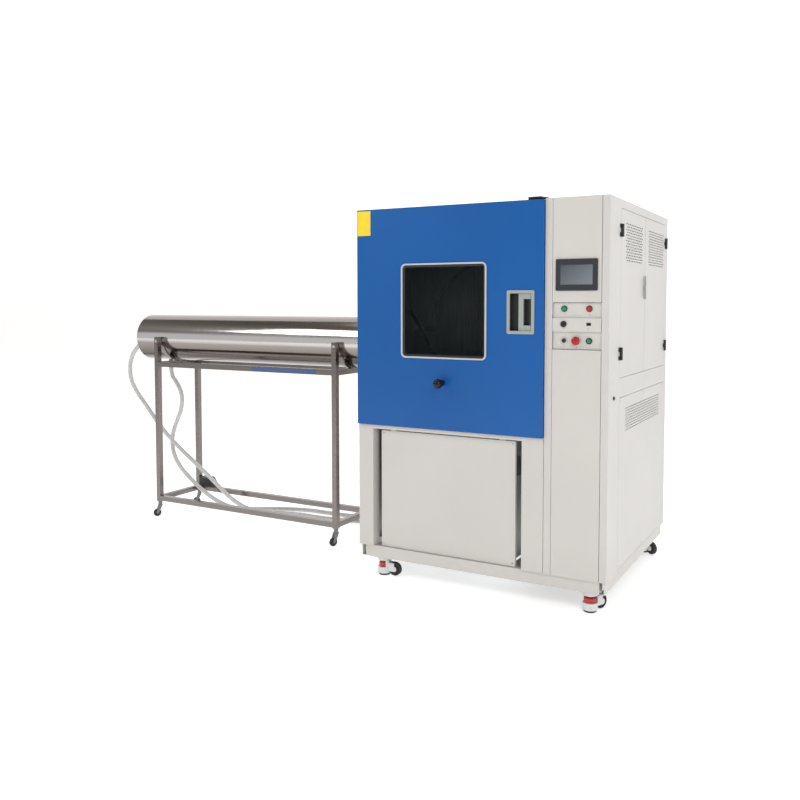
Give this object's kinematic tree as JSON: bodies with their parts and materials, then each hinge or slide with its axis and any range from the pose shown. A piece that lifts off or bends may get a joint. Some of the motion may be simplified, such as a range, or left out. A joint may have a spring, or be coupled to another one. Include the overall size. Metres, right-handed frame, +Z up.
{
  "type": "rain test chamber",
  "caption": "Cabinet for rain tests with a windowed door, swinging spray arch and turntable, fed by two hoses from a long water tank on a wheeled stand.",
  "frame": {"origin": "middle of the footprint of cabinet and trolley, on the floor, hoses left out", "axes": "+X from the trolley towards the control column's side, +Y from the door towards the back, +Z up"},
  "size_m": [3.6205, 1.2979, 1.952],
  "materials": {
    "cabinet_paint": "satin powder coat",
    "side_paint": "satin powder coat",
    "blue_paint": "smooth gloss paint",
    "stainless": "brushed stainless steel",
    "polished": "polished stainless steel",
    "black_plastic": "fine matt black",
    "red_plastic": "smooth gloss red",
    "green_plastic": "clear green cap",
    "grey_zinc": "grey die-cast, matt lacquer",
    "glass": "clear toughened glass",
    "seal": "matt silicone",
    "hose_rubber": "smooth grey hose",
    "tyre_rubber": "matt black",
    "grey_tyre": "grey tread",
    "white_cast": "white lacquer",
    "plated": "zinc plate",
    "machine_paint": "machine enamel",
    "board_steel": "plated sheet with plastic devices",
    "tank_plastic": "natural moulded plastic"
  },
  "bodies": {
    "cabinet": {"cabinet_frame": "cabinet_paint", "casing_panels": "cabinet_paint", "right_side_frame": "side_paint", "lower_side_cover": "side_paint", "lower_front_cover": "cabinet_paint", "column_fascia": "cabinet_paint", "control_fascia": "cabinet_paint", "control_fittings": "black_plastic", "operator_screen": "black_plastic", "hinge_brackets": "stainless", "chamber_liner": "stainless", "chamber_fittings": "stainless", "water_reservoir": "tank_plastic", "pump_and_drives": "machine_paint", "electrical_board": "board_steel", "door_switch": "black_plastic", "trolley_frame": "polished", "water_tank": "polished", "valve_box": "black_plastic", "upper_hose": "hose_rubber", "lower_hose": "hose_rubber"},
    "door": {"door_shell": "blue_paint", "door_liner": "stainless", "door_gasket": "seal", "window_trim": "grey_zinc", "window_panes": "glass", "handle_bezel": "grey_zinc"},
    "handle_grip": {"handle_grip": "grey_zinc"},
    "latch_tongue": {"latch_tongue": "plated"},
    "window_wiper": {"window_wiper": "black_plastic"},
    "spray_arch": {"spray_arch": "stainless"},
    "turntable": {"turntable": "stainless"},
    "side_door_front": {"side_door_front": "side_paint"},
    "side_door_rear": {"side_door_rear": "side_paint"},
    "side_door_handle": {"side_door_handle": "plated"},
    "side_lock": {"side_lock": "black_plastic"},
    "start_button": {"start_button": "black_plastic"},
    "stop_button": {"stop_button": "red_plastic"},
    "light_button": {"light_button": "green_plastic"},
    "key_switch": {"key_switch": "black_plastic"},
    "caster_front_left": {"caster_housing_front_left": "white_cast"},
    "caster_wheel_front_left": {"caster_wheel_front_left": "tyre_rubber"},
    "levelling_foot_front_left": {"levelling_foot_front_left": "tyre_rubber"},
    "trolley_fork_front_left": {"trolley_fork_front_left": "plated"},
    "trolley_wheel_front_left": {"trolley_wheel_front_left": "grey_tyre"},
    "caster_front_right": {"caster_housing_front_right": "white_cast"},
    "caster_wheel_front_right": {"caster_wheel_front_right": "tyre_rubber"},
    "levelling_foot_front_right": {"levelling_foot_front_right": "tyre_rubber"},
    "trolley_fork_front_right": {"trolley_fork_front_right": "plated"},
    "trolley_wheel_front_right": {"trolley_wheel_front_right": "grey_tyre"},
    "caster_rear_left": {"caster_housing_rear_left": "white_cast"},
    "caster_wheel_rear_left": {"caster_wheel_rear_left": "tyre_rubber"},
    "levelling_foot_rear_left": {"levelling_foot_rear_left": "tyre_rubber"},
    "trolley_fork_rear_left": {"trolley_fork_rear_left": "plated"},
    "trolley_wheel_rear_left": {"trolley_wheel_rear_left": "grey_tyre"},
    "caster_rear_right": {"caster_housing_rear_right": "white_cast"},
    "caster_wheel_rear_right": {"caster_wheel_rear_right": "tyre_rubber"},
    "levelling_foot_rear_right": {"levelling_foot_rear_right": "tyre_rubber"},
    "trolley_fork_rear_right": {"trolley_fork_rear_right": "plated"},
    "trolley_wheel_rear_right": {"trolley_wheel_rear_right": "grey_tyre"}
  },
  "joints": [
    {"name": "door_hinge", "type": "hinge", "parent": "cabinet", "child": "door", "pos_m": [0.37007, -0.501, 1.372], "axis": [0, 0, -1], "range_deg": [0, 110]},
    {"name": "handle_pull", "type": "hinge", "parent": "door", "child": "handle_grip", "pos_m": [1.35257, -0.567, 1.4055], "axis": [0, 0, 1], "range_deg": [0, 40], "stiffness_Nm_per_rad": 0.6, "springref_deg": -17.19},
    {"name": "latch_slide", "type": "slide", "parent": "door", "child": "latch_tongue", "axis": [-1, 0, 0], "range_m": [0, 0.009], "stiffness_N_per_m": 150, "springref_m": -0.004},
    {"name": "wiper_swing", "type": "hinge", "parent": "door", "child": "window_wiper", "pos_m": [0.88907, -0.501, 1.05], "axis": [0, 1, 0], "range_deg": [0, 66]},
    {"name": "arch_swing", "type": "hinge", "parent": "cabinet", "child": "spray_arch", "pos_m": [0.91007, 0.01, 1.3], "axis": [1, 0, 0], "range_deg": [-160, 160]},
    {"name": "turntable_spin", "type": "hinge", "parent": "cabinet", "child": "turntable", "pos_m": [0.91007, 0.01, 1.096], "axis": [0, 0, 1], "continuous": true},
    {"name": "side_door_front_hinge", "type": "hinge", "parent": "cabinet", "child": "side_door_front", "pos_m": [1.73707, -0.375, 1.494], "axis": [0, 0, -1], "range_deg": [0, 110]},
    {"name": "side_door_rear_hinge", "type": "hinge", "parent": "cabinet", "child": "side_door_rear", "pos_m": [1.73707, 0.561, 1.494], "axis": [0, 0, 1], "range_deg": [0, 110]},
    {"name": "side_handle_turn", "type": "hinge", "parent": "side_door_front", "child": "side_door_handle", "pos_m": [1.73007, 0.071, 1.53], "axis": [1, 0, 0], "range_deg": [0, 90]},
    {"name": "side_lock_turn", "type": "hinge", "parent": "cabinet", "child": "side_lock", "pos_m": [1.73007, -0.474, 1.008], "axis": [1, 0, 0], "range_deg": [0, 90]},
    {"name": "start_press", "type": "slide", "parent": "cabinet", "child": "start_button", "axis": [0, 1, 0], "range_m": [0, 0.003], "stiffness_N_per_m": 400, "springref_m": -0.003},
    {"name": "light_press", "type": "slide", "parent": "cabinet", "child": "light_button", "axis": [0, 1, 0], "range_m": [0, 0.003], "stiffness_N_per_m": 400, "springref_m": -0.003},
    {"name": "stop_press", "type": "slide", "parent": "cabinet", "child": "stop_button", "axis": [0, 1, 0], "range_m": [0, 0.004], "stiffness_N_per_m": 900, "springref_m": -0.004},
    {"name": "key_turn", "type": "hinge", "parent": "cabinet", "child": "key_switch", "pos_m": [1.51507, -0.561, 1.352], "axis": [0, 1, 0], "range_deg": [0, 60]},
    {"name": "caster_swivel_front_left", "type": "hinge", "parent": "cabinet", "child": "caster_front_left", "pos_m": [0.50407, -0.504, 0.06], "axis": [0, 0, 1], "continuous": true},
    {"name": "caster_roll_front_left", "type": "hinge", "parent": "caster_front_left", "child": "caster_wheel_front_left", "pos_m": [0.57007, -0.504, 0.0365], "axis": [0, 1, 0], "continuous": true},
    {"name": "foot_raise_front_left", "type": "slide", "parent": "caster_front_left", "child": "levelling_foot_front_left", "axis": [0, 0, 1], "range_m": [0, 0.008]},
    {"name": "caster_swivel_front_right", "type": "hinge", "parent": "cabinet", "child": "caster_front_right", "pos_m": [1.63807, -0.504, 0.06], "axis": [0, 0, 1], "continuous": true},
    {"name": "caster_roll_front_right", "type": "hinge", "parent": "caster_front_right", "child": "caster_wheel_front_right", "pos_m": [1.66905, -0.44572, 0.0365], "axis": [-0.8829, 0.4695, 0], "continuous": true},
    {"name": "foot_raise_front_right", "type": "slide", "parent": "caster_front_right", "child": "levelling_foot_front_right", "axis": [0, 0, 1], "range_m": [0, 0.008]},
    {"name": "caster_swivel_rear_left", "type": "hinge", "parent": "cabinet", "child": "caster_rear_left", "pos_m": [0.50407, 0.539, 0.06], "axis": [0, 0, 1], "continuous": true},
    {"name": "caster_roll_rear_left", "type": "hinge", "parent": "caster_rear_left", "child": "caster_wheel_rear_left", "pos_m": [0.43807, 0.539, 0.0365], "axis": [0, -1, 0], "continuous": true},
    {"name": "foot_raise_rear_left", "type": "slide", "parent": "caster_rear_left", "child": "levelling_foot_rear_left", "axis": [0, 0, 1], "range_m": [0, 0.008]},
    {"name": "caster_swivel_rear_right", "type": "hinge", "parent": "cabinet", "child": "caster_rear_right", "pos_m": [1.63807, 0.539, 0.06], "axis": [0, 0, 1], "continuous": true},
    {"name": "caster_roll_rear_right", "type": "hinge", "parent": "caster_rear_right", "child": "caster_wheel_rear_right", "pos_m": [1.69213, 0.50114, 0.0365], "axis": [0.5736, 0.8192, 0], "continuous": true},
    {"name": "foot_raise_rear_right", "type": "slide", "parent": "caster_rear_right", "child": "levelling_foot_rear_right", "axis": [0, 0, 1], "range_m": [0, 0.008]},
    {"name": "trolley_swivel_front_left", "type": "hinge", "parent": "cabinet", "child": "trolley_fork_front_left", "pos_m": [-1.47293, -0.211, 0.09], "axis": [0, 0, 1], "continuous": true},
    {"name": "trolley_roll_front_left", "type": "hinge", "parent": "trolley_fork_front_left", "child": "trolley_wheel_front_left", "pos_m": [-1.4844, -0.22738, 0.025], "axis": [0.8192, -0.5736, 0], "continuous": true},
    {"name": "trolley_swivel_front_right", "type": "hinge", "parent": "cabinet", "child": "trolley_fork_front_right", "pos_m": [-0.01993, -0.211, 0.09], "axis": [0, 0, 1], "continuous": true},
    {"name": "trolley_roll_front_right", "type": "hinge", "parent": "trolley_fork_front_right", "child": "trolley_wheel_front_right", "pos_m": [-0.02677, -0.22979, 0.025], "axis": [0.9397, -0.342, 0], "continuous": true},
    {"name": "trolley_swivel_rear_left", "type": "hinge", "parent": "cabinet", "child": "trolley_fork_rear_left", "pos_m": [-1.47293, 0.154, 0.09], "axis": [0, 0, 1], "continuous": true},
    {"name": "trolley_roll_rear_left", "type": "hinge", "parent": "trolley_fork_rear_left", "child": "trolley_wheel_rear_left", "pos_m": [-1.48931, 0.14253, 0.025], "axis": [0.5736, -0.8192, 0], "continuous": true},
    {"name": "trolley_swivel_rear_right", "type": "hinge", "parent": "cabinet", "child": "trolley_fork_rear_right", "pos_m": [-0.01993, 0.154, 0.09], "axis": [0, 0, 1], "continuous": true},
    {"name": "trolley_roll_rear_right", "type": "hinge", "parent": "trolley_fork_rear_right", "child": "trolley_wheel_rear_right", "pos_m": [-0.02993, 0.13668, 0.025], "axis": [0.866, -0.5, 0], "continuous": true}
  ],
  "couplings": [
    {"joint": "latch_slide", "follows": "handle_pull", "m_per_rad": 0.011459}
  ]
}
